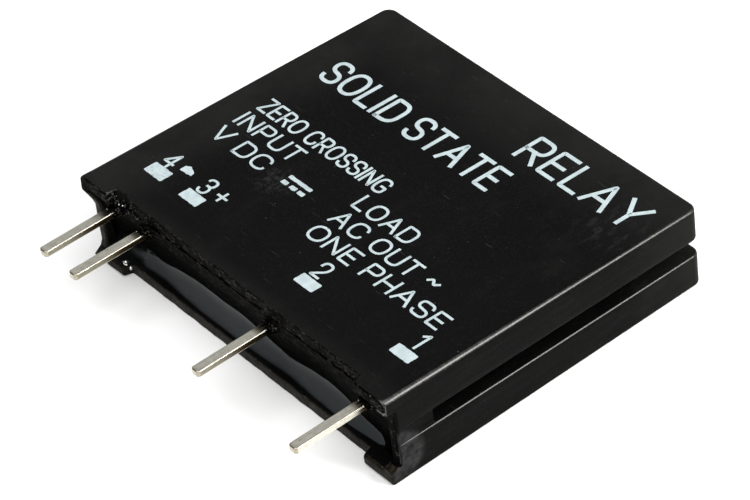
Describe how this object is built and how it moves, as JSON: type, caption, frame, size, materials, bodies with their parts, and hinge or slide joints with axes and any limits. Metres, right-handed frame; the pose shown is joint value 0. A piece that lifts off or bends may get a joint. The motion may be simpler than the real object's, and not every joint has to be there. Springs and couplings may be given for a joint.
{
  "type": "solid state relay",
  "caption": "Thin potted solid state relay for upright mounting on a circuit board, with flat pins in one row, two for the load and two for the input.",
  "frame": {"origin": "centre of the flat back of the case, midway between the sides and midway between the feet and the closed end", "axes": "+Z leaves the printed front, +X is the printed reading direction from pin 4 to pin 1, the pins point to -Y"},
  "size_m": [0.0246, 0.0247, 0.0054],
  "materials": {
    "case": "satin black moulded plastic",
    "resin": "glossy black potting resin",
    "tinned": "bright tin plating on copper alloy",
    "board": "glass-epoxy board",
    "copper": "copper foil and plating",
    "moulding": "black epoxy moulding",
    "silicon": "silicon or compound semiconductor",
    "wire": "bond wire",
    "coupler_moulding": "white epoxy moulding",
    "alumina": "alumina ceramic",
    "film": "resistive film under glass",
    "capacitor": "layered ceramic",
    "solder": "solder"
  },
  "bodies": {
    "root": {"case_shell": "case", "potting_resin": "resin", "load_terminal_1": "tinned", "load_terminal_2": "tinned", "input_terminal_3": "tinned", "input_terminal_4": "tinned", "circuit_board": "board", "copper_tracks": "copper", "board_vias": "copper", "triac_body": "moulding", "triac_tab": "tinned", "triac_leads": "tinned", "triac_die": "silicon", "triac_bond_wires": "wire", "coupler_body": "coupler_moulding", "coupler_leads": "tinned", "coupler_led_die": "silicon", "coupler_detector_die": "silicon", "snubber_capacitor_body": "capacitor", "snubber_capacitor_caps": "tinned", "solder_joints": "solder", "input_resistor_body": "alumina", "input_resistor_film": "film", "input_resistor_caps": "tinned", "trigger_resistor_body": "alumina", "trigger_resistor_film": "film", "trigger_resistor_caps": "tinned", "gate_resistor_body": "alumina", "gate_resistor_film": "film", "gate_resistor_caps": "tinned", "snubber_resistor_body": "alumina", "snubber_resistor_film": "film", "snubber_resistor_caps": "tinned"}
  },
  "joints": []
}
